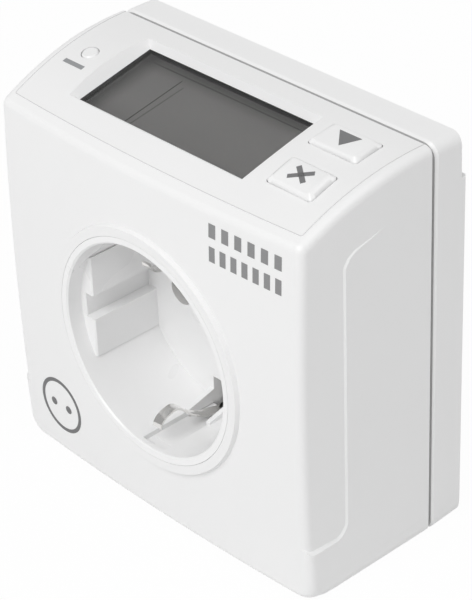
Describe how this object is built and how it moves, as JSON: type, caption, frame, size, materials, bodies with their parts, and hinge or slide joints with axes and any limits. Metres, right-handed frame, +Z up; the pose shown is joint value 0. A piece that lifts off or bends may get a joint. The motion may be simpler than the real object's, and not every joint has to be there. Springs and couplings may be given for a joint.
{
  "type": "energy cost meter",
  "caption": "White plug-in energy cost meter: round side-earthed socket in front, tilted display with keys on top, round plug with pins behind.",
  "frame": {"origin": "centre of the plug end face, midway between the pins", "axes": "+X right seen from the front, +Y along the plug pins towards the wall, +Z up"},
  "size_m": [0.0742, 0.0748, 0.0761],
  "materials": {
    "white_housing": "white glossy housing plastic",
    "white_fascia": "white glossy fascia plastic",
    "white_insert": "white glossy socket plastic",
    "white_keys": "white key plastic",
    "clear_window": "clear window",
    "lcd_glass": "grey liquid crystal panel",
    "black_plastic": "black plastic",
    "strip_rubber": "layered conductive rubber",
    "circuit_board": "green solder mask",
    "steel": "plain steel",
    "brass": "plain brass",
    "copper_alloy": "resistance alloy strip",
    "nickel": "nickel plated",
    "grey_plastic": "grey insulating plastic",
    "capacitor_case": "yellow capacitor case",
    "varistor_coat": "blue epoxy coat",
    "ribbon_film": "flat ribbon film"
  },
  "bodies": {
    "meter": {"front_housing": "white_housing", "back_cover": "white_housing", "display_fascia": "white_fascia", "socket_insert": "white_insert", "window_glass": "clear_window", "lcd_holder": "black_plastic", "lcd_panel": "lcd_glass", "contact_strips": "strip_rubber", "display_board": "circuit_board", "power_board": "circuit_board", "board_screws": "steel", "carrier_screws": "steel", "housing_screws": "steel", "display_chip": "black_plastic", "metering_chip": "black_plastic", "backup_cell": "steel", "key_switches": "black_plastic", "line_contact": "brass", "neutral_contact": "brass", "neutral_bar": "brass", "line_in_bar": "brass", "line_out_bar": "brass", "shunt": "copper_alloy", "earth_springs": "nickel", "earth_link": "brass", "plug_earth_strap": "nickel", "plug_pins": "nickel", "contact_carrier": "grey_plastic", "film_capacitor": "capacitor_case", "smoothing_capacitor": "capacitor_case", "varistor": "varistor_coat", "board_ribbon": "ribbon_film"},
    "down_key": {"key_down": "white_keys", "plunger_down": "black_plastic"},
    "cancel_key": {"key_cancel": "white_keys", "plunger_cancel": "black_plastic"},
    "reset_key": {"reset_button": "white_keys", "plunger_reset": "black_plastic"}
  },
  "joints": [
    {"name": "down_press", "type": "slide", "parent": "meter", "child": "down_key", "axis": [0, 0.2153, -0.9766], "range_m": [0, 0.0005], "stiffness_N_per_m": 900},
    {"name": "cancel_press", "type": "slide", "parent": "meter", "child": "cancel_key", "axis": [0, 0.2153, -0.9766], "range_m": [0, 0.0005], "stiffness_N_per_m": 900},
    {"name": "reset_press", "type": "slide", "parent": "meter", "child": "reset_key", "axis": [0, 0.2153, -0.9766], "range_m": [0, 0.0005], "stiffness_N_per_m": 900}
  ]
}
